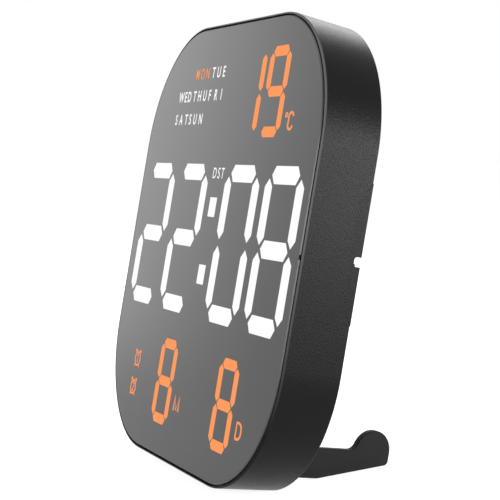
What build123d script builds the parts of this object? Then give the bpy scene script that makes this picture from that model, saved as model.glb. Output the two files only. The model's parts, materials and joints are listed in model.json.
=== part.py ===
"""A digital clock: a leaning slab with a smoked front panel, standing on two plug-in feet.

Millimetres. +Z is up, +X is to the right of someone reading the clock and -Y is in front of it.
The origin is on the floor under the middle of the clock.
"""

import os
from math import cos, radians, sin, sqrt
from typing import NamedTuple

from build123d import *

# Overall form
lean = 11.4  # how far the clock leans back, in degrees
body_depth = 34.7
corner_width = 54.6
corner_height = 70.2
side_margin = 7.9  # from the outer digits to the outside of the body
end_margin = 18.3  # from the temperature digits to the outside of the body
overrun = 1.0  # how far a cut runs past the face that it opens

# Housing
wall = 2.1
rim_width = 1.0  # the thin edge round the front panel
rim_round = 0.9
rear_round = 0.5
ledge_width = 4.0
ledge_thick = 1.5
boss_radius = 3.5
boss_height = 45.0  # side bosses, above and below the middle
boss_length = 14.0
boss_merge = 0.5  # how far a boss reaches into the wall that carries it
swell_length = 6.8  # the side walls swell slightly near their rear edge
swell_height = 0.2
swell_front_half = 26.0
swell_rear_half = 36.0
swell_level = 6.0
notch_level = 2.2
notch_tall = 4.9
notch_deep = 4.1
notch_round = 1.6
tooth_drop = 1.9  # a small tooth in the notch holds the cable
tooth_radius = 0.9

# Front panel
panel_proud = 0.5  # how far the panel stands out of the rim
panel_thick = 2.5
panel_gap = 1.0
panel_bevel = 0.5
gate_level = -0.2  # the mark that moulding leaves in the panel's right edge
gate_tall = 2.6
gate_deep = 0.6
tape_thick = 0.3
tape_setback = 0.4
window_fit = 0.05

# Display: digits are measured on the centre lines of their segments; bars are level, posts upright
time_width = 29.7
time_height = 77.0
time_bar = 9.5
time_post = 7.05
time_gap = 1.8  # from a corner of the centre lines to a segment's tip
time_bar_tip = 2.85
time_post_tip = 4.25
small_width = 16.3
small_height = 43.0
small_bar = 5.7
small_post = 4.6
small_gap = 0.65
small_bar_tip = 1.8
small_post_tip = 2.4
time_level = 0.9  # of the middle of the time digits
colon_place = 0.5
colon_space = 28.3  # from the colon to the digit on each side of it
hour_pitch = 41.4
minute_pitch = 42.4
colon_width = 7.8
colon_tall = 11.0
colon_spread = 38.1
small_pitch = 23.9
temperature_place = 47.4
temperature_gap = 14.9  # between the time and the row above it
month_place = -21.4
day_place = 48.0
date_gap = 15.8  # between the time and the row below it

# Display stack
film_thick = 0.2
stack_setback = 0.4  # from the ledge to the stack inside it
guide_thick = 8.45
guide_face = 1.5
guide_wall = 2.2  # round each chamber
guide_boss = 2.8
guide_flange = 2.0
flange_setback = 0.5
board_thick = 1.6
led_long = 3.5
led_wide = 2.8
led_tall = 1.4
led_pitch = 12.0
board_screw_across = 25.0
board_screw_edge = 70.0
board_screw_lift = 7.25  # above and below the time digits
board_screw_radius = 1.0
board_screw_head = 2.0
board_screw_head_tall = 1.2
board_screw_bite = 5.0

# Parts on the back of the display board
chip_side = 10.0
chip_tall = 1.6
driver_wide = 7.5
driver_long = 10.3
driver_tall = 2.3
driver_place = 26.0
crystal_long = 11.0
crystal_wide = 4.6
crystal_tall = 3.6
crystal_drop = 14.0
capacitor_radius = 3.2
capacitor_place = 30.0
capacitor_pitch = 9.0
capacitor_drop = 24.0
buzzer_radius = 6.0
buzzer_hole = 1.0
buzzer_hole_deep = 3.0
buzzer_place = 47.0
buzzer_drop = 46.0
sensor_radius = 1.5
sensor_leg = 0.3
sensor_leg_half = 0.8
sensor_place = 58.0
sensor_drop = 62.0

# Back cover
cover_recess = 4.0  # from the rear edge of the housing to the cover
cover_thick = 2.2
cover_gap = 0.4
post_radius = 2.5
post_place = 75.0
post_level = 62.0
middle_post_level = 66.0
cover_screw_radius = 1.2
cover_screw_fit = 0.3
cover_screw_head = 2.6
cover_screw_head_tall = 1.7
cover_screw_length = 11.0
pilot_fit = 0.05
cross_width = 0.7  # slots of the cross in a screw's head
key_level = 84.0
key_radius = 4.5
key_slot_width = 4.6
key_slot_length = 9.0
vent_radius = 1.0
vent_ring = 3.6
vent_count = 6
grille_width = 2.0
grille_length = 12.0
grille_pitch = 4.5
grille_count = 3

# Feet
foot_place = 43.8
foot_thick = 4.0
foot_low = 6.9  # underside of the foot's bar, above the bottom of the body
foot_tall = 17.1
foot_bevel = 0.5
grip_reach = 69.3  # from the rear edge of the body to the middle of the grip
grip_rise = 9.1  # from the floor to the middle of the grip
grip_radius = 12.4
grip_fillet = 5.6
back_round = 2.8  # where the back of the grip meets the floor
tongue_tall = 13.0
foot_fit = 0.3
socket_wall = 1.6
socket_spare = 0.5

# Buttons
button_names = ("set_button", "alarm_button", "up_button", "down_button", "dimmer_button")
plunger_names = ("set_plunger", "alarm_plunger", "up_plunger", "down_plunger", "dimmer_plunger")
button_pitch = 16.0
button_level = 40.0
button_radius = 4.0
button_fit = 0.3
button_proud = 1.2
button_round = 0.5
button_flange = 5.2
button_flange_thick = 1.0
button_travel = 0.5
stem_radius = 1.7
switch_side = 6.0
plunger_radius = 1.7
plunger_fit = 0.3
plunger_proud = 0.6
plunger_sunk = 1.0
plunger_spare = 0.1
button_board_edge = 4.0
button_board_tall = 16.0
button_boss_radius = 3.0
button_boss_space = 9.5  # from the last button to the boss beside it
header_long = 15.0
header_wide = 2.6

# Power input
pocket_start = 71.6
pocket_half = 8.0
pocket_wall = 1.6
pocket_spare = 2.0
plug_fit = 0.4
power_lift = 0.4  # between the power socket and the cover
power_board_long = 26.0
power_board_tall = 26.0
power_socket_long = 14.0
power_bore_deep = 10.0
power_pin = 1.0
power_pin_length = 9.0
power_boss_radius = 2.8
power_boss_level = 9.5
power_boss_inset = 4.5
power_header_inset = 4.5
power_header_long = 8.0

# Backup battery
coin_place = -50.0
coin_drop = 12.0
cell_radius = 10.0
cell_thick = 3.2
cell_fit = 0.4
cell_spare = 0.4
contact_thick = 0.6
contact_long = 12.0
contact_wide = 5.0
clip_thick = 0.25
clip_fit = 0.05
clip_wide = 6.0
cup_wall = 1.4
door_radius = 13.5
door_fit = 0.3
door_turn = 50.0  # how far the door turns to open, in degrees
lug_reach = 1.7
lug_thick = 1.0
lug_fit = 0.3
lug_wide = 6.0
neck_width = 1.2
slot_width = 1.8
slot_length = 14.0
slot_deep = 1.0

# Shares of the room between the display board and the back cover
capacitor_share = 0.43
buzzer_share = 0.525
sensor_leg_share = 0.185
sensor_share = 0.247
stem_share = 0.142
switch_share = 0.21
power_socket_share = 0.543
tongue_share = 0.74

# Shares of the power socket's height
power_width_share = 1.08
power_bore_share = 0.364


class DigitStyle(NamedTuple):
    """Sizes of one kind of digit."""

    width: float
    height: float
    bar: float
    post: float
    gap: float
    bar_tip: float
    post_tip: float


time_style = DigitStyle(
    time_width, time_height, time_bar, time_post, time_gap, time_bar_tip, time_post_tip
)
small_style = DigitStyle(
    small_width, small_height, small_bar, small_post, small_gap, small_bar_tip, small_post_tip
)

# Places that follow from the sizes above
hour_units_place = colon_place - colon_space
hour_tens_place = hour_units_place - hour_pitch
minute_tens_place = colon_place + colon_space
minute_units_place = minute_tens_place + minute_pitch
time_half_tall = (time_style.height + time_style.bar) / 2
small_half_tall = (small_style.height + small_style.bar) / 2
temperature_level = time_level + time_half_tall + temperature_gap + small_half_tall
date_level = time_level - time_half_tall - date_gap - small_half_tall
time_half_wide = (time_style.width + time_style.post) / 2
half_width = max(minute_units_place, -hour_tens_place) + time_half_wide + side_margin
half_height = max(temperature_level, -date_level) + small_half_tall + end_margin

# Depths, counted from the front of the rim towards the back
panel_front = -panel_proud
panel_back = panel_front + panel_thick
film_back = panel_back + film_thick
ledge_front = panel_back + tape_thick
ledge_back = ledge_front + ledge_thick
guide_back = film_back + guide_thick
board_back = guide_back + board_thick
cover_back = body_depth - cover_recess
cover_front = cover_back - cover_thick
back_room = cover_front - board_back

# Insets from the outside of the body
panel_inset = rim_width + panel_gap
ledge_inset = wall + ledge_width
stack_inset = ledge_inset + stack_setback
cover_inset = wall + cover_gap
boss_inset = wall + boss_radius - boss_merge

# The body stands on its rounded rear bottom edge, and the origin is halfway along the floor it covers
lean_sin = sin(radians(lean))
lean_cos = cos(radians(lean))
edge_lift = rear_round * (lean_sin + lean_cos - 1)
grip_height = (grip_rise + edge_lift + grip_reach * lean_sin) / lean_cos
tail = grip_reach * lean_cos + grip_height * lean_sin + grip_radius
rim_nose = body_depth * lean_cos - rim_round * (lean_sin + lean_cos - 1)
panel_nose = (body_depth + panel_proud) * lean_cos - (panel_inset + panel_bevel) * lean_sin
rear_edge = (max(rim_nose, panel_nose) - tail) / 2
clock = Plane(
    origin=(
        0,
        rear_edge + half_height * lean_sin - body_depth * lean_cos,
        half_height * lean_cos + body_depth * lean_sin - edge_lift,
    ),
    x_dir=(1, 0, 0),
    z_dir=(0, -lean_cos, lean_sin),
)


def layer(depth):
    """The plane across the clock at a depth behind the front of the rim."""
    return clock.offset(-depth)


def flank(across):
    """The upright plane at a distance to the right, drawn backwards and up from the rear bottom edge."""
    return Plane(
        origin=(across, rear_edge, -edge_lift),
        x_dir=(0, lean_cos, -lean_sin),
        z_dir=(1, 0, 0),
    )


def sideways(across, up, depth):
    """A plane that faces right, at a place on the clock: drawn up the clock, then forwards."""
    return Plane(
        origin=clock.from_local_coords((across, up, -depth)),
        x_dir=clock.y_dir,
        z_dir=clock.x_dir,
    )


def save(piece, name):
    """Labels a finished piece and writes it as its own file."""
    piece.part.label = name
    export_step(piece.part, f"parts/{name}.step")


def body_outline(inset, mode=Mode.ADD):
    """The body's outline, drawn into the open sketch: straight sides and elliptical corners."""
    wide = half_width - inset
    tall = half_height - inset
    round_wide = corner_width - inset
    round_tall = corner_height - inset
    straight_wide = wide - round_wide
    straight_tall = tall - round_tall
    with BuildLine() as edge:
        Line((wide, -straight_tall), (wide, straight_tall))
        EllipticalCenterArc((straight_wide, straight_tall), round_wide, round_tall, 0, arc_size=90)
        Line((straight_wide, tall), (-straight_wide, tall))
        EllipticalCenterArc((-straight_wide, straight_tall), round_wide, round_tall, 90, arc_size=90)
        Line((-wide, straight_tall), (-wide, -straight_tall))
        EllipticalCenterArc((-straight_wide, -straight_tall), round_wide, round_tall, 180, arc_size=90)
        Line((-straight_wide, -tall), (straight_wide, -tall))
        EllipticalCenterArc((straight_wide, -straight_tall), round_wide, round_tall, 270, arc_size=90)
    make_face(edge.edges(), mode=mode)


# Segments: shares of the digit's width and height, and the turn of the segment
segment_shares = {
    "a": (0, 1 / 2, 0),
    "b": (1 / 2, 1 / 4, 90),
    "c": (1 / 2, -1 / 4, 90),
    "d": (0, -1 / 2, 0),
    "e": (-1 / 2, -1 / 4, 90),
    "f": (-1 / 2, 1 / 4, 90),
    "g": (0, 0, 0),
}
lit_letters = {"0": "abcdef", "1": "bc", "2": "abdeg", "8": "abcdefg", "9": "abcdfg"}


def draw_segments(style, letters, across, up, fit=0.0, mode=Mode.ADD):
    """Six-sided segments of one digit, drawn into the open sketch and drawn in by a clearance."""
    for letter in letters:
        across_share, up_share, turn = segment_shares[letter]
        upright = turn > 0
        reach = (style.height / 2 if upright else style.width) / 2 - style.gap - fit
        thick = (style.post if upright else style.bar) / 2 - fit
        tip = style.post_tip if upright else style.bar_tip
        middle = (across + across_share * style.width, up + up_share * style.height, 0)
        with Locations(Location(middle, (0, 0, turn))):
            Polygon(
                (reach, 0),
                (reach - tip, thick),
                (tip - reach, thick),
                (-reach, 0),
                (tip - reach, -thick),
                (reach - tip, -thick),
                align=None,
                mode=mode,
            )


def draw_colon(fit=0.0, mode=Mode.ADD):
    """The two dots of the colon, drawn into the open sketch."""
    dots = [(colon_place, time_level + end * colon_spread / 2) for end in (-1, 1)]
    with Locations(*dots):
        Rectangle(colon_width - 2 * fit, colon_tall - 2 * fit, mode=mode)


# What the display shows: node, style, character, place and level
lit_digits = (
    ("hour_tens_segments", time_style, "2", hour_tens_place, time_level),
    ("hour_units_segments", time_style, "2", hour_units_place, time_level),
    ("minute_tens_segments", time_style, "0", minute_tens_place, time_level),
    ("minute_units_segments", time_style, "8", minute_units_place, time_level),
    ("temperature_segments", small_style, "1", temperature_place - small_pitch, temperature_level),
    ("temperature_segments", small_style, "9", temperature_place, temperature_level),
    ("month_segments", small_style, "8", month_place, date_level),
    ("day_segments", small_style, "8", day_place, date_level),
)
digit_cells = [(style, across, up) for name, style, shown, across, up in lit_digits]
digit_cells.append((small_style, month_place - small_pitch, date_level))
digit_cells.append((small_style, day_place - small_pitch, date_level))


def draw_all_cells(fit=0.0, mode=Mode.ADD):
    """Every segment that the display has, lit or dark, drawn into the open sketch."""
    for style, across, up in digit_cells:
        draw_segments(style, "abcdefg", across, up, fit, mode)
    draw_colon(fit, mode)


def draw_lit():
    """Every lit segment, drawn into the open sketch."""
    for name, style, shown, across, up in lit_digits:
        draw_segments(style, lit_letters[shown], across, up)
    draw_colon()


os.makedirs("parts", exist_ok=True)

side_bosses = [
    (side * (half_width - boss_inset), level)
    for side in (-1, 1)
    for level in (-boss_height, boss_height)
]
end_bosses = [(0, end * (half_height - boss_inset)) for end in (-1, 1)]
boss_places = side_bosses + end_bosses
boss_front = cover_front - boss_length

# Slight swelling of a side wall at its rear edge, round the cable notch
swell_front = body_depth - swell_length
swell_middle = clock.from_local_coords((0, swell_level, 0))
with BuildPart() as swelling:
    with BuildSketch(Plane(origin=swell_middle, x_dir=clock.x_dir, z_dir=clock.y_dir)):
        with BuildLine():
            Polyline(
                (half_width, swell_front),
                (half_width + swell_height, body_depth),
                (half_width - wall / 2, body_depth),
                (half_width - wall / 2, swell_front),
                close=True,
            )
        make_face()
    extrude(amount=swell_rear_half, both=True)
    with BuildSketch(sideways(half_width - wall, swell_level, 0)):
        with BuildLine():
            Polyline(
                (swell_front_half, -swell_front),
                (swell_rear_half, -body_depth),
                (-swell_rear_half, -body_depth),
                (-swell_front_half, -swell_front),
                close=True,
            )
        make_face()
    extrude(amount=wall + swell_height + overrun, mode=Mode.INTERSECT)

with BuildPart() as housing:
    with BuildSketch(layer(0)):
        body_outline(0)
    extrude(amount=-body_depth)
    fillet(housing.faces().sort_by(Axis(clock.origin, clock.z_dir))[-1].edges(), rim_round)
    fillet(housing.faces().sort_by(Axis(clock.origin, clock.z_dir))[0].edges(), rear_round)
    with BuildSketch(layer(-overrun)):
        body_outline(rim_width)
    extrude(amount=-(ledge_front + overrun), mode=Mode.SUBTRACT)
    with BuildSketch(layer(0)):
        body_outline(wall)
    extrude(amount=-(body_depth + overrun), mode=Mode.SUBTRACT)
    with BuildSketch(layer(ledge_front)):
        body_outline(wall - boss_merge)
        body_outline(ledge_inset, mode=Mode.SUBTRACT)
    extrude(amount=-ledge_thick)
    with BuildSketch(layer(boss_front)):
        with Locations(*boss_places):
            Circle(boss_radius)
    extrude(amount=-boss_length)
    with BuildSketch(layer(cover_front)):
        with Locations(*boss_places):
            Circle(cover_screw_radius + pilot_fit)
    extrude(amount=cover_screw_length, mode=Mode.SUBTRACT)
    add(swelling.part)
    add(mirror(swelling.part, about=Plane.YZ, mode=Mode.PRIVATE))
    with BuildSketch(sideways(half_width - wall - overrun, notch_level, body_depth)):
        RectangleRounded(notch_tall, 2 * notch_deep, notch_round)
    extrude(amount=wall + 2 * overrun, mode=Mode.SUBTRACT)
    with BuildSketch(sideways(half_width - wall, notch_level - tooth_drop, body_depth - notch_deep)):
        Circle(tooth_radius)
    extrude(amount=wall)
save(housing, "housing")

with BuildPart() as front_panel:
    with BuildSketch(layer(panel_front)):
        body_outline(panel_inset)
    extrude(amount=-panel_thick)
    chamfer(front_panel.faces().sort_by(Axis(clock.origin, clock.z_dir))[-1].edges(), panel_bevel)
    with BuildSketch(layer(panel_front)):
        draw_lit()
        with Locations((half_width - panel_inset, gate_level)):
            Rectangle(2 * gate_deep, gate_tall)
    extrude(amount=-panel_thick, mode=Mode.SUBTRACT)
save(front_panel, "front_panel")

with BuildPart() as panel_tape:
    with BuildSketch(layer(panel_back)):
        body_outline(panel_inset + tape_setback)
        body_outline(ledge_inset, mode=Mode.SUBTRACT)
    extrude(amount=-tape_thick)
save(panel_tape, "panel_tape")

with BuildPart() as window_film:
    with BuildSketch(layer(panel_back)):
        body_outline(stack_inset)
    extrude(amount=-film_thick)
    with BuildSketch(layer(panel_back)):
        draw_all_cells()
    extrude(amount=-film_thick, mode=Mode.SUBTRACT)
save(window_film, "window_film")

for node in dict.fromkeys(digit[0] for digit in lit_digits):
    with BuildPart() as lit:
        with BuildSketch(layer(panel_front)):
            for name, style, shown, across, up in lit_digits:
                if name == node:
                    draw_segments(style, lit_letters[shown], across, up, window_fit)
        extrude(amount=-panel_thick)
    save(lit, node)

with BuildPart() as colon_dots:
    with BuildSketch(layer(panel_front)):
        draw_colon(window_fit)
    extrude(amount=-panel_thick)
save(colon_dots, "colon_dots")

board_screw_level = time_half_tall + board_screw_lift
board_screw_places = [
    (side * across, time_level + end * board_screw_level)
    for side in (-1, 1)
    for end in (-1, 1)
    for across in (board_screw_across, board_screw_edge)
]

with BuildPart() as light_guide:
    with BuildSketch(layer(film_back)):
        body_outline(stack_inset)
    extrude(amount=-guide_thick)
    with BuildSketch(layer(ledge_back)):
        body_outline(wall + flange_setback)
    extrude(amount=-guide_flange)
    # Open at the back between the walls of the chambers, the rim and the screw bosses
    with BuildSketch(layer(guide_back)):
        body_outline(stack_inset + guide_wall)
        draw_all_cells(-guide_wall, Mode.SUBTRACT)
        with Locations(*board_screw_places):
            Circle(guide_boss, mode=Mode.SUBTRACT)
        with Locations(*boss_places):
            Circle(boss_radius + stack_setback + guide_wall, mode=Mode.SUBTRACT)
    extrude(amount=guide_thick - guide_face, mode=Mode.SUBTRACT)
    with BuildSketch(layer(film_back)):
        draw_all_cells()
        with Locations(*boss_places):
            Circle(boss_radius + stack_setback)
    extrude(amount=-guide_thick, mode=Mode.SUBTRACT)
    with BuildSketch(layer(guide_back)):
        with Locations(*board_screw_places):
            Circle(board_screw_radius + pilot_fit)
    extrude(amount=board_screw_bite, mode=Mode.SUBTRACT)
save(light_guide, "light_guide")

with BuildPart() as display_board:
    with BuildSketch(layer(guide_back)):
        body_outline(stack_inset)
        with Locations(*board_screw_places):
            Circle(board_screw_radius + pilot_fit, mode=Mode.SUBTRACT)
        with Locations(*boss_places):
            Circle(boss_radius + stack_setback, mode=Mode.SUBTRACT)
    extrude(amount=-board_thick)
save(display_board, "display_board")


def led_places():
    """Two lamps behind each large segment, and one behind each small segment and dot."""
    places = [(colon_place, time_level + end * colon_spread / 2, 0) for end in (-1, 1)]
    for style, across, up in digit_cells:
        for across_share, up_share, turn in segment_shares.values():
            x = across + across_share * style.width
            y = up + up_share * style.height
            steps = (-led_pitch / 2, led_pitch / 2) if style is time_style else (0,)
            for step in steps:
                shift = (0, step) if turn > 0 else (step, 0)
                places.append((x + shift[0], y + shift[1], turn))
    return places


with BuildPart() as display_leds:
    with BuildSketch(layer(guide_back)):
        for across, up, turn in led_places():
            with Locations(Location((across, up, 0), (0, 0, turn))):
                Rectangle(led_long, led_wide)
    extrude(amount=led_tall)
save(display_leds, "display_leds")


def screw_group(name, places, seat, radius, length, head_radius, head_tall, points=1):
    """Pan-head screws with their heads on a seat at a depth; they point to the front, or back at -1."""
    with BuildPart() as screws:
        with BuildSketch(layer(seat)):
            with Locations(*places):
                Circle(radius)
        extrude(amount=points * length)
        with BuildSketch(layer(seat)):
            with Locations(*places):
                Circle(head_radius)
        extrude(amount=-points * head_tall)
        with BuildSketch(layer(seat + points * head_tall)):
            with Locations(*places):
                Rectangle(head_radius, cross_width)
                Rectangle(cross_width, head_radius)
        extrude(amount=points * head_tall / 2, mode=Mode.SUBTRACT)
    save(screws, name)


screw_group(
    "board_screws",
    board_screw_places,
    board_back,
    board_screw_radius,
    board_thick + board_screw_bite,
    board_screw_head,
    board_screw_head_tall,
)


def board_part(name, places, wide, tall, high):
    """A plain block on the back of the display board, one at each place."""
    with BuildPart() as block:
        with BuildSketch(layer(board_back)):
            with Locations(*places):
                Rectangle(wide, tall)
        extrude(amount=-high)
    save(block, name)


board_part("clock_chip", [(0, 0)], chip_side, chip_side, chip_tall)
driver_places = [(-driver_place, 0), (driver_place, 0)]
board_part("driver_chips", driver_places, driver_wide, driver_long, driver_tall)
board_part("quartz_crystal", [(0, -crystal_drop)], crystal_long, crystal_wide, crystal_tall)

capacitor_tall = back_room * capacitor_share
buzzer_tall = back_room * buzzer_share
sensor_leg_length = back_room * sensor_leg_share
sensor_tall = back_room * sensor_share

with BuildPart() as capacitors:
    with BuildSketch(layer(board_back)):
        with Locations((capacitor_place, -capacitor_drop)):
            with GridLocations(capacitor_pitch, 0, 2, 1):
                Circle(capacitor_radius)
    extrude(amount=-capacitor_tall)
save(capacitors, "capacitors")

with BuildPart() as buzzer:
    with BuildSketch(layer(board_back)):
        with Locations((buzzer_place, -buzzer_drop)):
            Circle(buzzer_radius)
    extrude(amount=-buzzer_tall)
    with BuildSketch(layer(board_back + buzzer_tall)):
        with Locations((buzzer_place, -buzzer_drop)):
            Circle(buzzer_hole)
    extrude(amount=buzzer_hole_deep, mode=Mode.SUBTRACT)
save(buzzer, "buzzer")

with BuildPart() as temperature_sensor:
    with BuildSketch(layer(board_back)):
        with Locations((sensor_place, -sensor_drop)):
            with GridLocations(2 * sensor_leg_half, 0, 2, 1):
                Circle(sensor_leg)
    extrude(amount=-sensor_leg_length)
    with BuildSketch(layer(board_back + sensor_leg_length)):
        with Locations((sensor_place, -sensor_drop)):
            Circle(sensor_radius)
    extrude(amount=-sensor_tall)
save(temperature_sensor, "temperature_sensor")

# Buttons, their switches and the board behind them
button_middle = (len(button_names) - 1) / 2
button_places = [((i - button_middle) * button_pitch, button_level) for i in range(len(button_names))]
stem_length = back_room * stem_share
switch_tall = back_room * switch_share
flange_front = cover_front - button_flange_thick
stem_front = flange_front - stem_length
switch_back = stem_front - plunger_proud
button_board_back = switch_back - switch_tall
button_board_front = button_board_back - board_thick
button_row_half = button_places[-1][0]
button_boss_place = button_row_half + button_boss_space
button_boss_places = [(-button_boss_place, button_level), (button_boss_place, button_level)]

for name, place in zip(button_names, button_places):
    with BuildPart() as button:
        with BuildSketch(layer(flange_front)):
            with Locations(place):
                Circle(button_flange)
        extrude(amount=-button_flange_thick)
        with BuildSketch(layer(cover_front)):
            with Locations(place):
                Circle(button_radius)
        extrude(amount=-(cover_thick + button_proud))
        fillet(button.faces().sort_by(Axis(clock.origin, clock.z_dir))[0].edges(), button_round)
        with BuildSketch(layer(flange_front)):
            with Locations(place):
                Circle(stem_radius)
        extrude(amount=stem_length)
    save(button, name)

for name, place in zip(plunger_names, button_places):
    with BuildPart() as plunger:
        with BuildSketch(layer(stem_front)):
            with Locations(place):
                Circle(plunger_radius)
        extrude(amount=plunger_proud + plunger_sunk)
    save(plunger, name)

with BuildPart() as switch_bodies:
    with BuildSketch(layer(button_board_back)):
        with Locations(*button_places):
            Rectangle(switch_side, switch_side)
    extrude(amount=-switch_tall)
    with BuildSketch(layer(switch_back)):
        with Locations(*button_places):
            Circle(plunger_radius + plunger_fit)
    extrude(amount=plunger_sunk + button_travel + plunger_spare, mode=Mode.SUBTRACT)
save(switch_bodies, "switch_bodies")

with BuildPart() as button_board:
    with BuildSketch(layer(button_board_front)):
        with Locations((0, button_level)):
            Rectangle(2 * (button_boss_place + button_board_edge), button_board_tall)
        with Locations(*button_boss_places):
            Circle(board_screw_radius + pilot_fit, mode=Mode.SUBTRACT)
    extrude(amount=-board_thick)
save(button_board, "button_board")

with BuildPart() as button_header:
    with BuildSketch(layer(board_back)):
        with Locations((0, button_level)):
            Rectangle(header_long, header_wide)
    extrude(amount=board_back - button_board_front)
save(button_header, "button_header")

screw_group(
    "button_board_screws",
    button_boss_places,
    button_board_front,
    board_screw_radius,
    board_thick + board_screw_bite,
    board_screw_head,
    board_screw_head_tall,
    points=-1,
)

# Power input, on its own small board beside the cable pocket
power_right = pocket_start - pocket_wall
power_left = power_right - power_board_long
power_socket_tall = back_room * power_socket_share
power_socket_wide = power_socket_tall * power_width_share
power_bore = power_socket_tall * power_bore_share
plug_hole = power_bore + plug_fit
power_board_back = cover_front - power_lift - power_socket_tall
power_board_front = power_board_back - board_thick
power_axis = power_board_back + power_socket_tall / 2
power_boss_places = [(power_left + power_boss_inset, end * power_boss_level) for end in (-1, 1)]

with BuildPart() as power_board:
    with BuildSketch(layer(power_board_front)):
        with Locations(((power_left + power_right) / 2, 0)):
            Rectangle(power_board_long, power_board_tall)
        with Locations(*power_boss_places):
            Circle(board_screw_radius + pilot_fit, mode=Mode.SUBTRACT)
    extrude(amount=-board_thick)
save(power_board, "power_board")

with BuildPart() as power_socket:
    with BuildSketch(layer(power_board_back)):
        with Locations((power_right - power_socket_long / 2, 0)):
            Rectangle(power_socket_long, power_socket_wide)
    extrude(amount=-power_socket_tall)
    with BuildSketch(sideways(power_right, 0, power_axis)):
        Circle(power_bore)
    extrude(amount=-power_bore_deep, mode=Mode.SUBTRACT)
save(power_socket, "power_socket")

with BuildPart() as power_socket_pin:
    with BuildSketch(sideways(power_right - power_bore_deep, 0, power_axis)):
        Circle(power_pin)
    extrude(amount=power_pin_length)
save(power_socket_pin, "power_socket_pin")

with BuildPart() as power_header:
    with BuildSketch(layer(board_back)):
        with Locations((power_left + power_header_inset, 0)):
            Rectangle(header_wide, power_header_long)
    extrude(amount=board_back - power_board_front)
save(power_header, "power_header")

screw_group(
    "power_board_screws",
    power_boss_places,
    power_board_front,
    board_screw_radius,
    board_thick + board_screw_bite,
    board_screw_head,
    board_screw_head_tall,
    points=-1,
)

# Backup battery, in a cup behind a door that turns to open
coin_middle = (coin_place, -coin_drop)
cell_back = cover_front - cell_spare
cell_front = cell_back - cell_thick
cup_floor = cell_front - contact_thick
cup_radius = cell_radius + cell_fit
cup_outside = cup_radius + cup_wall
lug_back = cover_front - lug_fit
lug_front = lug_back - lug_thick
lug_floor = lug_front - lug_fit
lug_inside = cup_outside + lug_fit
lug_outside = door_radius + lug_reach
lug_well = lug_outside + door_fit


def draw_lug_ring(outside, inside, wide, turn=0.0):
    """Two opposite arc-shaped tabs round the battery door, drawn into the open sketch."""
    with Locations(coin_middle):
        Circle(outside)
        Circle(inside, mode=Mode.SUBTRACT)
        Rectangle(2 * outside, wide, rotation=turn, mode=Mode.INTERSECT)


with BuildPart() as coin_cell:
    with BuildSketch(layer(cell_front)):
        with Locations(coin_middle):
            Circle(cell_radius)
    extrude(amount=-cell_thick)
save(coin_cell, "coin_cell")

with BuildPart() as coin_contacts:
    with BuildSketch(layer(cup_floor)):
        with Locations(coin_middle):
            Rectangle(contact_long, contact_wide)
    extrude(amount=-contact_thick)
    with BuildSketch(layer(cell_front)):
        with Locations(coin_middle):
            Circle(cup_radius - clip_fit)
            Circle(cup_radius - clip_fit - clip_thick, mode=Mode.SUBTRACT)
        with Locations((coin_place, cup_radius - coin_drop)):
            Rectangle(clip_wide, clip_wide, mode=Mode.INTERSECT)
    extrude(amount=-cell_thick)
save(coin_contacts, "coin_contacts")

with BuildPart() as coin_door:
    with BuildSketch(layer(cover_front)):
        with Locations(coin_middle):
            Circle(door_radius)
    extrude(amount=-cover_thick)
    with BuildSketch(layer(lug_front)):
        draw_lug_ring(lug_outside, lug_inside, lug_wide)
    extrude(amount=-lug_thick)
    with BuildSketch(layer(lug_front)):
        draw_lug_ring(lug_inside + neck_width, lug_inside, lug_wide)
    extrude(amount=lug_front - cover_front)
    with BuildSketch(layer(cover_back)):
        with Locations(coin_middle):
            SlotOverall(slot_length, slot_width)
    extrude(amount=slot_deep, mode=Mode.SUBTRACT)
save(coin_door, "coin_door")

# Back cover
post_places = [(side * post_place, end * post_level) for side in (-1, 1) for end in (-1, 1)]
post_places += [(0, middle_post_level), (0, -middle_post_level)]
tongue_length = back_room * tongue_share
tongue_level = foot_low + foot_tall / 2 - half_height
socket_places = [(-foot_place, tongue_level), (foot_place, tongue_level)]
socket_wide = foot_thick + 2 * foot_fit
socket_tall = tongue_tall + 2 * foot_fit
socket_deep = tongue_length + socket_spare
cover_right = half_width - cover_inset
pocket_floor = power_axis - plug_hole - pocket_spare
pocket_deep = cover_back - pocket_floor
pocket_tall = 2 * pocket_half

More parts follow.
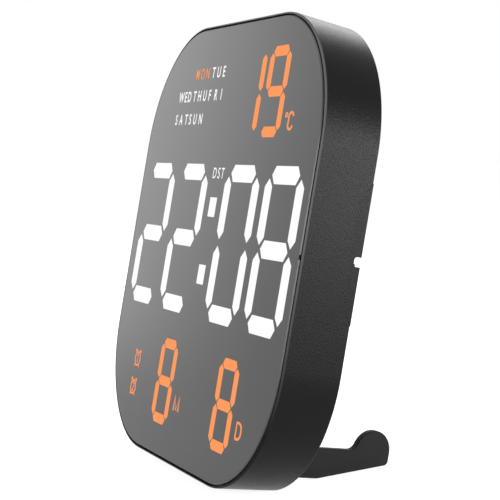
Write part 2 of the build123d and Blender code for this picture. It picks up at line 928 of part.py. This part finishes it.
with BuildPart() as back_cover:
    with BuildSketch(layer(cover_front)):
        body_outline(cover_inset)
    extrude(amount=-cover_thick)
    with BuildSketch(layer(cover_front)):
        with Locations(*post_places):
            Circle(post_radius)
    extrude(amount=cover_front - board_back)
    with BuildSketch(layer(cover_front)):
        with Locations(*button_boss_places):
            Circle(button_boss_radius)
    extrude(amount=cover_front - button_board_back)
    with BuildSketch(layer(cover_front)):
        with Locations(*power_boss_places):
            Circle(power_boss_radius)
    extrude(amount=cover_front - power_board_back)
    with BuildSketch(layer(cover_front)):
        with Locations(*socket_places):
            Rectangle(socket_wide + 2 * socket_wall, socket_tall + 2 * socket_wall)
    extrude(amount=socket_deep + socket_wall - cover_thick)
    with BuildSketch(layer(cover_front)):
        with Locations(((power_right + cover_right) / 2, 0)):
            Rectangle(cover_right - power_right, pocket_tall + 2 * pocket_wall)
    extrude(amount=cover_front - pocket_floor + pocket_wall)
    with BuildSketch(layer(cover_front)):
        with Locations(coin_middle):
            Circle(lug_well + cup_wall)
    extrude(amount=cover_front - lug_floor + cup_wall)
    with BuildSketch(layer(cover_front)):
        with Locations(coin_middle):
            Circle(cup_outside)
    extrude(amount=cover_front - cup_floor + cup_wall)
    # Openings that start at the outside of the cover
    with BuildSketch(layer(cover_back)):
        with Locations(*socket_places):
            Rectangle(socket_wide, socket_tall)
    extrude(amount=socket_deep, mode=Mode.SUBTRACT)
    with BuildSketch(layer(cover_back)):
        with Locations(((pocket_start + cover_right + overrun) / 2, 0)):
            Rectangle(cover_right + overrun - pocket_start, pocket_tall)
    extrude(amount=pocket_deep, mode=Mode.SUBTRACT)
    with BuildSketch(layer(cover_back)):
        with Locations(*button_places):
            Circle(button_radius + button_fit)
        with Locations(*boss_places):
            Circle(cover_screw_radius + cover_screw_fit)
        with Locations((0, key_level)):
            Circle(key_radius)
        with Locations((0, key_level + key_slot_length / 2)):
            Rectangle(key_slot_width, key_slot_length)
        with Locations((0, key_level + key_slot_length)):
            Circle(key_slot_width / 2)
        with Locations((buzzer_place, -buzzer_drop)):
            Circle(vent_radius)
            with PolarLocations(vent_ring, vent_count):
                Circle(vent_radius)
        with Locations((sensor_place, -sensor_drop)):
            with GridLocations(0, grille_pitch, 1, grille_count):
                SlotOverall(grille_length, grille_width)
        with Locations(coin_middle):
            Circle(door_radius + door_fit)
    extrude(amount=cover_thick, mode=Mode.SUBTRACT)
    # The battery door's lugs pass through two gaps in the edge of its opening, then turn under the edge
    with BuildSketch(layer(cover_back)):
        draw_lug_ring(lug_well, door_radius, lug_wide + 2 * door_fit, -door_turn)
    extrude(amount=cover_thick, mode=Mode.SUBTRACT)
    with BuildSketch(layer(cover_front)):
        with Locations(coin_middle):
            Circle(lug_well)
            Circle(cup_outside, mode=Mode.SUBTRACT)
    extrude(amount=cover_front - lug_floor, mode=Mode.SUBTRACT)
    with BuildSketch(layer(cover_front)):
        with Locations(coin_middle):
            Circle(cup_radius)
    extrude(amount=cover_front - cup_floor, mode=Mode.SUBTRACT)
    with BuildSketch(layer(button_board_back)):
        with Locations(*button_boss_places):
            Circle(board_screw_radius + pilot_fit)
    extrude(amount=-board_screw_bite, mode=Mode.SUBTRACT)
    with BuildSketch(layer(power_board_back)):
        with Locations(*power_boss_places):
            Circle(board_screw_radius + pilot_fit)
    extrude(amount=-board_screw_bite, mode=Mode.SUBTRACT)
    with BuildSketch(sideways(power_right - overrun, 0, power_axis)):
        Circle(plug_hole)
    extrude(amount=pocket_wall + 2 * overrun, mode=Mode.SUBTRACT)
save(back_cover, "back_cover")

screw_group(
    "cover_screws",
    boss_places,
    cover_back,
    cover_screw_radius,
    cover_screw_length,
    cover_screw_head,
    cover_screw_head_tall,
)


# Feet: a bar that plugs into the back, cut flat where it stands on the floor, with a round grip
def floor_level(back):
    """Height of the floor beside the leaning body, at a distance behind its rear edge."""
    return (back * lean_sin + edge_lift) / lean_cos


def make_foot(name, across):
    """One foot, with its middle at a distance to the right of the middle of the clock."""
    bar_top = foot_low + foot_tall
    bar_end = grip_reach - sqrt(grip_radius**2 - (bar_top - grip_height) ** 2)
    heel = (foot_low * lean_cos - edge_lift) / lean_sin
    back = grip_reach + grip_radius
    far = back + overrun
    with BuildPart() as foot:
        with BuildSketch(flank(across - foot_thick / 2)) as profile:
            with Locations((grip_reach, grip_height)):
                Circle(grip_radius)
            Polygon(
                (0, floor_level(0)),
                (far, floor_level(far)),
                (far, floor_level(0) - overrun),
                (0, floor_level(0) - overrun),
                align=None,
                mode=Mode.SUBTRACT,
            )
            Polygon(
                (-cover_recess, foot_low),
                (heel, foot_low),
                (back, floor_level(back)),
                (back, grip_height),
                (grip_reach, grip_height),
                (grip_reach, bar_top),
                (-cover_recess, bar_top),
                align=None,
            )
            fillet(profile.vertices().sort_by_distance((bar_end, bar_top))[0], grip_fillet)
            fillet(profile.vertices().sort_by_distance((back, floor_level(back)))[0], back_round)
        extrude(amount=foot_thick)
        flanks = foot.faces().filter_by(Axis.X)
        chamfer(flanks.edges(), foot_bevel)
        with BuildSketch(flank(across - foot_thick / 2)):
            with Locations((-cover_recess - tongue_length / 2, foot_low + foot_tall / 2)):
                Rectangle(tongue_length, tongue_tall)
        extrude(amount=foot_thick)
    save(foot, name)


make_foot("left_foot", -foot_place)
make_foot("right_foot", foot_place)
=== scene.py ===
# %% [markdown]
# # A leaning digital clock
# The clock is a flat slab with a smoked front panel. Lit digits show through the panel, and two
# feet plug into its back. Its shapes come ready-made as a fixed frame, in metres, so this lesson
# is about finishes, printed and lit markings, light and the camera.

# %% Load the clock
import json
from math import cos, pi, radians, sin

import bmesh
import bpy
from mathutils import Matrix, Vector


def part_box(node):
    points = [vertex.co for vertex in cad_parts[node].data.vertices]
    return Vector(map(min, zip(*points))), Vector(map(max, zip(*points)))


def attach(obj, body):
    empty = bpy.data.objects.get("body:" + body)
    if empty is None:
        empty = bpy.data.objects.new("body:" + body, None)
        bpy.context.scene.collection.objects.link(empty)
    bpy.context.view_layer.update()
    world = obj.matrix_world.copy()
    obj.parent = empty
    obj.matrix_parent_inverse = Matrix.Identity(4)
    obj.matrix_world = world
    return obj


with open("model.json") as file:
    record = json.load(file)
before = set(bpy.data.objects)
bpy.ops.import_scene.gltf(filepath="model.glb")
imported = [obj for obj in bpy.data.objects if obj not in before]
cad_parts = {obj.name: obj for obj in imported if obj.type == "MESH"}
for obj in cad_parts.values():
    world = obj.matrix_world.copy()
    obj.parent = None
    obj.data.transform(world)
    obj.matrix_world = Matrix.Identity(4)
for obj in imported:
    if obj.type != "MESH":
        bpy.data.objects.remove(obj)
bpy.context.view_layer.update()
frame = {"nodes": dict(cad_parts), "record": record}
scene = bpy.context.scene
MM = 0.001


def in_mm(vector):
    """A place or a size in millimetres, rounded for printing."""
    return [round(v / MM, 2) for v in vector]


# %% [markdown]
# ## Where the front panel is
# Everything printed or lit lies on the panel, which leans back. One matrix carries flat drawings,
# made in millimetres with X to the right and Y up the panel, onto its face. The colon stands
# close to the panel's middle and goes right through it, so the face lies half the panel's
# thickness in front of the colon's centre.

# %% The panel's own axes
lean = radians(11.4)
panel_thick = 2.5 * MM
colon_across = 0.5 * MM
colon_up = 0.9 * MM
panel_right = Vector((1, 0, 0))
panel_up = Vector((0, sin(lean), cos(lean)))
panel_out = Vector((0, -cos(lean), sin(lean)))
colon_low, colon_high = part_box("colon_dots")
colon_face = (colon_low + colon_high) / 2 + panel_out * panel_thick / 2
panel_middle = colon_face - panel_right * colon_across - panel_up * colon_up
panel_turn = Matrix.Rotation(pi / 2 - lean, 4, "X")
panel_place = Matrix.Translation(panel_middle) @ panel_turn @ Matrix.Scale(MM, 4)
print("middle of the panel's face in mm:", in_mm(panel_middle))

# %% [markdown]
# ## Finishes
# Each finish is a small node tree on Object coordinates, so its pattern stays on the piece. One
# helper makes the tree's start, and further helpers add what most finishes share: noise patterns,
# slow changes of colour and gloss, and bumps in the surface. Numbers that are the same all over
# go straight onto the shader.

# %% Helpers for finishes
noise_roughness = 0.55
pattern_low, pattern_high = 0.3, 0.7  # most of a noise lies between these


def set_values(node, values):
    """Sets some of a node's sockets to fixed values."""
    for socket, value in values.items():
        node.inputs[socket].default_value = value


def add_node(tree, kind, values):
    """A new node with some of its sockets set."""
    node = tree.nodes.new(f"ShaderNode{kind}")
    set_values(node, values)
    return node


def new_finish(name):
    """A material with a Principled shader, and the coordinates that its patterns lie in."""
    finish = bpy.data.materials.new(name)
    finish.use_nodes = True
    tree = finish.node_tree
    shader = tree.nodes["Principled BSDF"]
    coords = tree.nodes.new("ShaderNodeTexCoord")
    return finish, tree, shader, coords.outputs["Object"]


def noise(tree, coords, size_mm, detail=3.0):
    """A noise pattern whose features are about this large."""
    values = {"Scale": 1000 / size_mm, "Detail": detail, "Roughness": noise_roughness}
    node = add_node(tree, "TexNoise", values)
    tree.links.new(coords, node.inputs["Vector"])
    return node.outputs["Fac"]


def spread(tree, value, low, high):
    """Stretches a pattern's middle range to run from low to high."""
    values = {"From Min": pattern_low, "From Max": pattern_high, "To Min": low, "To Max": high}
    node = add_node(tree, "MapRange", values)
    tree.links.new(value, node.inputs["Value"])
    return node.outputs["Result"]


def two_tones(tree, value, dark, light):
    """Runs from one colour to another along a pattern's middle range."""
    node = tree.nodes.new("ShaderNodeValToRGB")
    ends = zip(node.color_ramp.elements, (pattern_low, pattern_high), (dark, light))
    for end, position, colour in ends:
        end.position = position
        end.color = (*colour, 1)
    tree.links.new(value, node.inputs["Fac"])
    return node.outputs["Color"]


def bumps(tree, shader, height, strength, depth_mm):
    """Lets a pattern raise and lower the surface."""
    node = add_node(tree, "Bump", {"Strength": strength, "Distance": depth_mm * MM})
    tree.links.new(height, node.inputs["Height"])
    tree.links.new(node.outputs["Normal"], shader.inputs["Normal"])


def shade(colour, factor):
    """A colour made lighter or darker."""
    return tuple(min(1.0, c * factor) for c in colour)


# %% [markdown]
# ## Moulded plastic
# The case, its cover, the feet and the small mouldings come out of steel tools with a fine
# spark-eroded grain. The grain is a noise of under a millimetre. It is a bump and a slight change
# of gloss rather than geometry, because it is far too small to model. On the case the tone gets
# lighter over the last millimetre before the front, which is measured along the panel's own axis.
# This is a painted highlight on the thin rim round the panel, and it is strongest at the upper
# right.

# %% Moulded plastics
cloud_mm = 14
grain_depth = 0.14  # depth of the grain, as a part of its size
gloss_change = 0.06
panel_proud = 0.5 * MM
rim_start = 1.0 * MM
rim_end = 0.3 * MM
highlight_way = Vector((1, 0, 1)).normalized()  # the painted rim highlight grows stronger this way
highlight_start = 95 * MM
highlight_full = 170 * MM


def rise(tree, coords, way, start, end):
    """0 up to one distance along a direction, rising to 1 at another."""
    along = add_node(tree, "VectorMath", {1: way})
    along.operation = "DOT_PRODUCT"
    tree.links.new(coords, along.inputs[0])
    ramp = add_node(tree, "MapRange", {"From Min": start, "From Max": end})
    tree.links.new(along.outputs["Value"], ramp.inputs["Value"])
    return ramp.outputs["Result"]


def painted_rim_highlight(tree, coords, colour, rim_highlight_colour):
    """Paints a highlight on the rim round the panel: a lighter colour, most at its upper right."""
    # the painted highlight covers the last millimetre before the front and grows towards the upper
    # right
    rim_front = panel_middle.dot(panel_out) - panel_proud
    on_rim = rise(tree, coords, panel_out, rim_front - rim_start, rim_front - rim_end)
    upper_right = rise(tree, coords, highlight_way, highlight_start, highlight_full)
    highlight_amount = tree.nodes.new("ShaderNodeMath")
    highlight_amount.operation = "MULTIPLY"
    tree.links.new(on_rim, highlight_amount.inputs[0])
    tree.links.new(upper_right, highlight_amount.inputs[1])
    blend = tree.nodes.new("ShaderNodeMix")
    blend.data_type = "RGBA"
    blend.inputs["B"].default_value = (*rim_highlight_colour, 1)
    tree.links.new(highlight_amount.outputs["Value"], blend.inputs["Factor"])
    tree.links.new(colour, blend.inputs["A"])
    return blend.outputs["Result"]


def moulded(name, colour, grain_mm, grain, rough, tone=0.12, specular=0.3, rim_highlight_colour=None):
    """A moulded plastic with a fine grain and slow changes of tone and gloss."""
    finish, tree, shader, coords = new_finish(name)
    cloud = noise(tree, coords, cloud_mm)
    fine = noise(tree, coords, grain_mm, detail=2)
    tone_colour = two_tones(tree, cloud, shade(colour, 1 - tone), shade(colour, 1 + tone))
    # on the case, a painted highlight lightens the rim round the panel, most at its upper right
    if rim_highlight_colour:
        tone_colour = painted_rim_highlight(tree, coords, tone_colour, rim_highlight_colour)
    gloss = spread(tree, fine, rough - gloss_change, rough + gloss_change)
    tree.links.new(tone_colour, shader.inputs["Base Color"])
    tree.links.new(gloss, shader.inputs["Roughness"])
    set_values(shader, {"Specular IOR Level": specular})
    bumps(tree, shader, fine, grain, grain_mm * grain_depth)
    return finish


finishes = {
    "housing": moulded(
        "grained case plastic", (0.0045, 0.0045, 0.0047),
        # the rim's lighter colour is a painted highlight
        grain_mm=0.8, grain=1.0, rough=0.34, specular=0.1, rim_highlight_colour=(0.15, 0.15, 0.152),
    ),
    "cover": moulded(
        "grained cover plastic", (0.014, 0.014, 0.0145),
        grain_mm=0.7, grain=0.4, rough=0.5, specular=0.2,
    ),
    "foot": moulded(
        "grained foot plastic", (0.012, 0.012, 0.0124),
        grain_mm=0.7, grain=0.5, rough=0.5, specular=0.13,
    ),
    "button": moulded(
        "satin button plastic", (0.03, 0.03, 0.031), grain_mm=0.4, grain=0.2, rough=0.36
    ),
    "film": moulded("black film", (0.012, 0.012, 0.012), grain_mm=0.6, grain=0.1, rough=0.6),
    "guide": moulded(
        "white light guide", (0.82, 0.82, 0.8), grain_mm=0.8, grain=0.15, rough=0.45, tone=0.03
    ),
    "chip": moulded(
        "black moulded package", (0.018, 0.018, 0.02), grain_mm=0.25, grain=0.3, rough=0.55
    ),
    "plunger": moulded(
        "coloured switch plunger", (0.5, 0.09, 0.07), grain_mm=0.3, grain=0.1, rough=0.35
    ),
}
print("moulded finishes:", len(finishes))

# %% [markdown]
# ## The smoked panel
# The front is a dark acrylic sheet with a half-mirror finish: grey where it mirrors the room, with
# almost no texture. It stays opaque here, and the lit windows are pieces of their own, set flush
# in it. Faint slow waves of gloss keep the mirror from looking computed.

# %% Smoked panel
def smoked_panel():
    """Dark glossy acrylic that mirrors softly."""
    finish, tree, shader, coords = new_finish("smoked panel")
    waves = noise(tree, coords, size_mm=60, detail=2)
    tone = two_tones(tree, waves, dark=(0.030, 0.030, 0.031), light=(0.035, 0.035, 0.036))
    tree.links.new(tone, shader.inputs["Base Color"])
    tree.links.new(spread(tree, waves, low=0.29, high=0.32), shader.inputs["Roughness"])
    set_values(shader, {"IOR": 1.5, "Specular IOR Level": 0.5})
    return finish


finishes["panel"] = smoked_panel()
print("panel finish:", finishes["panel"].name)

# %% [markdown]
# ## Light
# A lit window is a plain shader that gives off light of its own. Strength 1 is as bright as white
# paper, which keeps the digits' edges crisp, and the orange keeps its colour because it doesn't
# overflow. A very fine frosting on the surface scatters what little room light falls on it.

# %% Lit windows
WHITE_LIGHT = (1.0, 1.0, 1.0)
ORANGE_LIGHT = (1.0, 0.335, 0.12)
frost_dark, frost_light = 0.004, 0.008  # shares of the light's colour


def lit(name, colour):
    """A frosted window that glows in one colour."""
    finish, tree, shader, coords = new_finish(name)
    frost = noise(tree, coords, size_mm=0.4)
    tone = two_tones(tree, frost, shade(colour, frost_dark), shade(colour, frost_light))
    tree.links.new(tone, shader.inputs["Base Color"])
    tree.links.new(spread(tree, frost, low=0.55, high=0.65), shader.inputs["Roughness"])
    set_values(shader, {"Specular IOR Level": 0.0})
    set_values(shader, {"Emission Color": (*colour, 1), "Emission Strength": 1.0})
    return finish


finishes["white_light"] = lit("white light", WHITE_LIGHT)
finishes["orange_light"] = lit("orange light", ORANGE_LIGHT)
print("lit finishes:", finishes["white_light"].name, "and", finishes["orange_light"].name)

# %% [markdown]
# ## Boards, lamps and metal
# Inside the case, circuit boards are glossy green with faint copper tracks under the lacquer.
# Screws and the coin cell are plated steel, brushed by a noise that is stretched one way. Apart
# from the heads of the cover screws, little of this shows while the clock is closed, but a part
# is also looked at in pieces.

# %% Finishes of the inner pieces
track_values = {
    "Scale": 160,
    "Color1": (0.016, 0.11, 0.045, 1),
    "Color2": (0.02, 0.13, 0.052, 1),
    "Mortar": (0.04, 0.2, 0.08, 1),
    "Mortar Size": 0.03,
}
mark_dark, mark_light = 0.9, 1.08  # shares of the metal's colour
mark_gloss = 0.08


def lacquered_board():
    """Green lacquer over copper tracks."""
    finish, tree, shader, coords = new_finish("lacquered board")
    tracks = add_node(tree, "TexBrick", track_values)
    cloud = noise(tree, coords, size_mm=6)
    tree.links.new(coords, tracks.inputs["Vector"])
    tree.links.new(tracks.outputs["Color"], shader.inputs["Base Color"])
    tree.links.new(spread(tree, cloud, low=0.25, high=0.35), shader.inputs["Roughness"])
    bumps(tree, shader, tracks.outputs["Fac"], strength=0.2, depth_mm=0.05)
    return finish


def metal(name, colour, rough, stretch):
    """Plated metal with fine marks that run one way."""
    finish, tree, shader, coords = new_finish(name)
    mapping = add_node(tree, "Mapping", {"Scale": stretch})
    tree.links.new(coords, mapping.inputs["Vector"])
    marks = noise(tree, mapping.outputs["Vector"], size_mm=0.5)
    tone = two_tones(tree, marks, shade(colour, mark_dark), shade(colour, mark_light))
    gloss = spread(tree, marks, rough - mark_gloss, rough + mark_gloss)
    tree.links.new(tone, shader.inputs["Base Color"])
    tree.links.new(gloss, shader.inputs["Roughness"])
    set_values(shader, {"Metallic": 1.0})
    bumps(tree, shader, marks, strength=0.15, depth_mm=0.02)
    return finish


def clear_resin():
    """The yellowish resin of a small lamp."""
    finish, tree, shader, coords = new_finish("lamp resin")
    cloud = noise(tree, coords, size_mm=1.5)
    tone = two_tones(tree, cloud, dark=(0.8, 0.72, 0.42), light=(0.9, 0.85, 0.6))
    tree.links.new(tone, shader.inputs["Base Color"])
    tree.links.new(spread(tree, cloud, low=0.15, high=0.25), shader.inputs["Roughness"])
    return finish


finishes["board"] = lacquered_board()
finishes["lamp"] = clear_resin()
finishes["screw"] = metal("plated steel", (0.58, 0.58, 0.6), rough=0.34, stretch=(1, 1, 0.1))
finishes["can"] = metal("aluminium can", (0.68, 0.68, 0.7), rough=0.3, stretch=(1, 0.1, 1))
finishes["contact"] = metal("brass strip", (0.72, 0.52, 0.22), rough=0.32, stretch=(0.1, 1, 1))
print("finishes in all:", len(finishes))

# %% [markdown]
# ## Each node gets its finish
# The record says which slot every node belongs to, so one loop dresses all of them.

# %% Dress the nodes
slot_of = {part["node"]: part["material_slot"] for part in frame["record"]["subparts"]}
for node, piece in frame["nodes"].items():
    piece.data.materials.clear()
    piece.data.materials.append(finishes[slot_of[node]])
print("dressed nodes:", len(slot_of))

# %% [markdown]
# ## Words on the panel
# The days of the week and the small signs are lit through stencilled windows. A text object gives
# the letter shapes. It is turned into a mesh first and made narrower, because the real letters are
# condensed. Its spacing is then worked out so that each word fills its own measured width, which
# is how the real rows look justified, and the mesh is carried onto the panel. Letters stand a
# twentieth of a millimetre proud, so that they hide the panel behind them.

# %% A helper for flat drawings
X, Y, Z = range(3)
sign_lift = 0.05
sign_thick = 0.1


def mesh_of(curve):
    """The mesh of a curve or a text, which itself is thrown away."""
    holder = bpy.data.objects.new(curve.name, curve)
    scene.collection.objects.link(holder)
    bpy.context.view_layer.update()
    ready = holder.evaluated_get(bpy.context.evaluated_depsgraph_get())
    mesh = bpy.data.meshes.new_from_object(ready)
    bpy.data.objects.remove(holder)
    bpy.data.curves.remove(curve)
    return mesh


def span(mesh, axis):
    """Lowest and highest place of a mesh along one axis."""
    places = [v.co[axis] for v in mesh.vertices]
    return min(places), max(places)


def lay_on_panel(mesh, name, finish_slot):
    """Makes a flat drawing, in millimetres, a piece on the panel."""
    mesh.transform(Matrix.Translation((0, 0, sign_lift - span(mesh, Z)[1])))
    mesh.transform(panel_place)
    mesh.materials.clear()
    mesh.materials.append(finishes[finish_slot])
    piece = bpy.data.objects.new(name, mesh)
    piece.data.name = name
    scene.collection.objects.link(piece)
    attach(piece, "case")


# %% A helper for words
condensed = 0.68
trial_spacings = (1.0, 2.0)


def text_mesh(text, spacing, weight):
    """A word as a mesh, in font units."""
    curve = bpy.data.curves.new("letters", "FONT")
    curve.body = text
    curve.space_character = spacing
    curve.offset = weight
    curve.extrude = sign_thick / 2
    return mesh_of(curve)


def word(text, left, right, base, tall, finish_slot, weight):
    """A word that stands on a base line and is spaced out between two ends."""
    narrow, wide = (text_mesh(text, spacing, weight) for spacing in trial_spacings)
    low, high = span(narrow, Y)
    scale = tall / (high - low)
    across = scale * condensed
    narrow_width, wide_width = (
        (end - start) * across for start, end in (span(narrow, X), span(wide, X))
    )
    spacing = 1.0 + (right - left - narrow_width) / (wide_width - narrow_width)
    mesh = text_mesh(text, spacing, weight)
    mesh.transform(Matrix.Diagonal((across, scale, 1, 1)))
    mesh.transform(Matrix.Translation((left - span(mesh, X)[0], base - span(mesh, Y)[0], 0)))
    lay_on_panel(mesh, f"sign_{text.lower()}", finish_slot)


# %% Days of the week
day_tall = 6.4
day_weight = 0.016
today_weight = 0.002  # the orange day has wide letters, which would run together
day_rows = {  # height of a row's middle: its words with their left and right ends
    97.5: (("MON", -45.5, -29.2), ("TUE", -25.8, -10.4)),
    84.3: (("WED", -63.4, -47.6), ("THU", -44.9, -28.6), ("FRI", -25.6, -10.4)),
    70.6: (("SAT", -63.2, -47.5), ("SUN", -45.4, -29.1)),
}
for level, days in day_rows.items():
    for text, left, right in days:
        today = text == "MON"
        slot_name = "orange_light" if today else "white_light"
        weight = today_weight if today else day_weight
        word(text, left, right, level - day_tall / 2, day_tall, slot_name, weight)
word(
    "DST", left=-4.8, right=7.8, base=36.1, tall=6.2, finish_slot="white_light", weight=0.004
)
print("words:", sum(len(days) for days in day_rows.values()) + 1)

# %% [markdown]
# ## Signs drawn as strokes
# The degree sign, the small letters beside the figures and the alarm-clock signs are thin strokes
# of even width. Each stroke is a curve with a round bevel. Once it is a mesh it is flattened to a
# ribbon with rounded edges, which is easier than drawing both of its sides.

# %% A helper for strokes
def arc(middle, across, up, start, end, steps=24):
    """Points along part of an ellipse, between two angles in degrees."""
    turns = [radians(start + (end - start) * i / steps) for i in range(steps + 1)]
    return [(middle[0] + across * cos(turn), middle[1] + up * sin(turn)) for turn in turns]


def stroke_sign(name, strokes, width, finish_slot):
    """Strokes of even width as one flat piece on the panel."""
    curve = bpy.data.curves.new(name, "CURVE")
    curve.dimensions = "3D"
    curve.bevel_depth = width / 2
    curve.bevel_resolution = 3
    curve.use_fill_caps = True
    for points in strokes:
        line = curve.splines.new("POLY")
        line.points.add(len(points) - 1)
        for point, (x, y) in zip(line.points, points):
            point.co = (x, y, 0, 1)
    mesh = mesh_of(curve)
    mesh.transform(Matrix.Diagonal((1, 1, sign_thick / width, 1)))
    lay_on_panel(mesh, name, finish_slot)


# %% Degree sign and letters
fine, thin, broad = 1.0, 1.4, 1.6
degree_ring = arc((62.4, 70.5), across=0.9, up=1.0, start=0, end=360)

celsius_across, celsius_top, celsius_bottom = 66.9, 69.7, 65.0
celsius_round = 2.0
celsius_letter = (
    arc((celsius_across, celsius_top), celsius_round, celsius_round, 0, 180)
    + arc((celsius_across, celsius_bottom), celsius_round, celsius_round, 180, 360)
)

letter_low, letter_high = -96.1, -87.9
month_left, month_right = -5.6, -0.1
month_dip = letter_low + 0.6
month_letter = [
    (month_left, letter_low),
    (month_left, letter_high),
    ((month_left + month_right) / 2, month_dip),
    (month_right, letter_high),
    (month_right, letter_low),
]

day_left, day_right = 64.1, 68.9
day_round = 3.0
day_letter = (
    [(day_left, letter_low), (day_left, letter_high)]
    + arc((day_right - day_round, letter_high - day_round), day_round, day_round, 90, 0)
    + arc((day_right - day_round, letter_low + day_round), day_round, day_round, 0, -90)
    + [(day_left, letter_low)]
)

signs = {
    "sign_degrees": (degree_ring, fine),
    "sign_celsius": (celsius_letter, thin),
    "sign_month": (month_letter, broad),
    "sign_day": (day_letter, thin),
}
for name, (points, width) in signs.items():
    stroke_sign(name, [points], width, "orange_light")
print("stroke signs:", len(signs))

# %% [markdown]
# ## Alarm signs
# Each alarm has a small picture of an alarm clock with its number inside: a round case, two bells
# on top and two short feet. It is drawn with the same strokes. Places are measured from the
# picture's middle, and the left foot and bell mirror the right ones.

# %% Alarm signs
case_across, case_up, case_drop = 3.3, 4.0, 0.4
right_foot_line = [(2.2, -3.9), (2.9, -5.3)]
right_bell_line = [(3.7, 3.6), (1.9, 5.0)]
case_width, bell_width = 1.1, 1.5
figure_one = [(-0.9, 1.4), (0.2, 2.3), (0.2, -2.6)]
figure_two = [
    (-1.1, 1.5), (-0.5, 2.2), (0.5, 2.2), (1.1, 1.4), (1.0, 0.6), (-1.1, -2.6), (1.3, -2.6)
]
alarms = {
    "sign_alarm_1": ((-60.8, -75.5), figure_one),
    "sign_alarm_2": ((-60.8, -92.7), figure_two),
}


def moved(points, middle, side=1):
    """Points set round a middle, mirrored where the side is -1."""
    return [(middle[0] + side * x, middle[1] + y) for x, y in points]


for name, (middle, figure) in alarms.items():
    case = arc((middle[0], middle[1] - case_drop), case_across, case_up, 0, 360)
    feet = [moved(right_foot_line, middle, side) for side in (-1, 1)]
    bells = [moved(right_bell_line, middle, side) for side in (-1, 1)]
    case_strokes = [case, *feet, moved(figure, middle)]
    stroke_sign(f"{name}_case", case_strokes, case_width, "orange_light")
    stroke_sign(f"{name}_bells", bells, bell_width, "orange_light")
print("alarm signs:", len(alarms))

# %% [markdown]
# ## Floor, light and background
# The floor is plain and pale. The background is white for the camera and for mirror-like rays,
# while the light that really falls on the clock comes from soft lamps: one at the far left, which
# the smoked panel mirrors, one at the right behind, which the side wall mirrors, one in front that
# picks out the rim, one high behind that lights the upper corner, and one overhead.

# %% Floor
floor_half = 6
floor_glow = 0.84
floor_mesh = bpy.data.meshes.new("floor")
sheet = bmesh.new()
bmesh.ops.create_grid(sheet, x_segments=1, y_segments=1, size=floor_half)
sheet.to_mesh(floor_mesh)
sheet.free()
floor = bpy.data.objects.new("floor", floor_mesh)
scene.collection.objects.link(floor)


def seen_rays(tree):
    """1 for rays from the camera and for mirrored and transmitted ones, else 0."""
    path = tree.nodes.new("ShaderNodeLightPath")
    seen = path.outputs["Is Camera Ray"]
    for name in ("Is Glossy Ray", "Is Transmission Ray"):
        either = tree.nodes.new("ShaderNodeMath")
        either.operation = "MAXIMUM"
        tree.links.new(seen, either.inputs[0])
        tree.links.new(path.outputs[name], either.inputs[1])
        seen = either.outputs[0]
    return seen


def pale_floor():
    """A pale floor that is white to the camera, apart from the clock's shadow."""
    finish, tree, shader, coords = new_finish("pale floor")
    grain = noise(tree, coords, size_mm=30)
    tone = two_tones(tree, grain, dark=(0.78, 0.78, 0.78), light=(0.8, 0.8, 0.8))
    tree.links.new(tone, shader.inputs["Base Color"])
    set_values(shader, {"Roughness": 0.9, "Specular IOR Level": 0.0})
    glow = add_node(tree, "Emission", {"Strength": floor_glow})
    both = tree.nodes.new("ShaderNodeAddShader")
    mix = tree.nodes.new("ShaderNodeMixShader")
    tree.links.new(shader.outputs["BSDF"], both.inputs[0])
    tree.links.new(glow.outputs["Emission"], both.inputs[1])
    tree.links.new(seen_rays(tree), mix.inputs["Fac"])
    tree.links.new(shader.outputs["BSDF"], mix.inputs[1])
    tree.links.new(both.outputs["Shader"], mix.inputs[2])
    tree.links.new(mix.outputs["Shader"], tree.nodes["Material Output"].inputs["Surface"])
    return finish


floor.data.materials.append(pale_floor())
print("floor:", 2 * floor_half, "m wide")

# %% Background
WHITE = (1, 1, 1, 1)
room_strength = 0.22
seen_strength = 1.0
world = bpy.data.worlds.new("studio")
world.use_nodes = True
scene.world = world
room = world.node_tree
room_light = room.nodes["Background"]
set_values(room_light, {"Color": WHITE, "Strength": room_strength})
seen_light = add_node(room, "Background", {"Color": WHITE, "Strength": seen_strength})
choose = room.nodes.new("ShaderNodeMixShader")
room.links.new(seen_rays(room), choose.inputs["Fac"])
room.links.new(room_light.outputs["Background"], choose.inputs[1])
room.links.new(seen_light.outputs["Background"], choose.inputs[2])
room.links.new(choose.outputs["Shader"], room.nodes["World Output"].inputs["Surface"])
print("background:", world.name)

# %% Lamps
lamps = {  # place, the spot it points at, width in metres, power in watts
    "left_lamp": ((-1.45, -0.3, 0.38), (-0.1, 0, 0.14), 0.9, 5.3),
    "right_lamp": ((1.14, 0.84, 0.16), (0.1, 0, 0.12), 0.6, 17),
    "front_lamp": ((0.65, -1.15, 0.42), (0.05, 0, 0.13), 0.3, 6.5),
    "back_lamp": ((-0.7, 1.0, 1.15), (0.05, 0, 0.2), 0.7, 6),
    "top_lamp": ((0.1, -0.5, 1.6), (0, 0, 0.1), 1.0, 4),
}
for name, (place, aim, size, power) in lamps.items():
    lamp = bpy.data.lights.new(name, "AREA")
    lamp.size = size
    lamp.energy = power
    holder = bpy.data.objects.new(name, lamp)
    holder.location = place
    way = Vector(aim) - Vector(place)
    holder.rotation_euler = way.to_track_quat("-Z", "Y").to_euler()
    scene.collection.objects.link(holder)
print("lamps:", len(lamps))

# %% [markdown]
# ## Camera
# The picture looks at the clock from its right, a little above its middle. The place, turn and
# lens were worked out from where the digits and the outline appear, so they fall on the same spots
# here. The picture is square.

# %% Camera
view = bpy.data.cameras.new("camera")
view.sensor_width = 36
view.lens = 78.09
camera = bpy.data.objects.new("camera", view)
camera.location = (0.53189, -0.32031, 0.18443)
camera.rotation_euler = [radians(turn) for turn in (84.46, 0.33, 59.427)]
scene.collection.objects.link(camera)
scene.camera = camera
scene.view_settings.view_transform = "Standard"
print("camera in mm:", in_mm(camera.location))
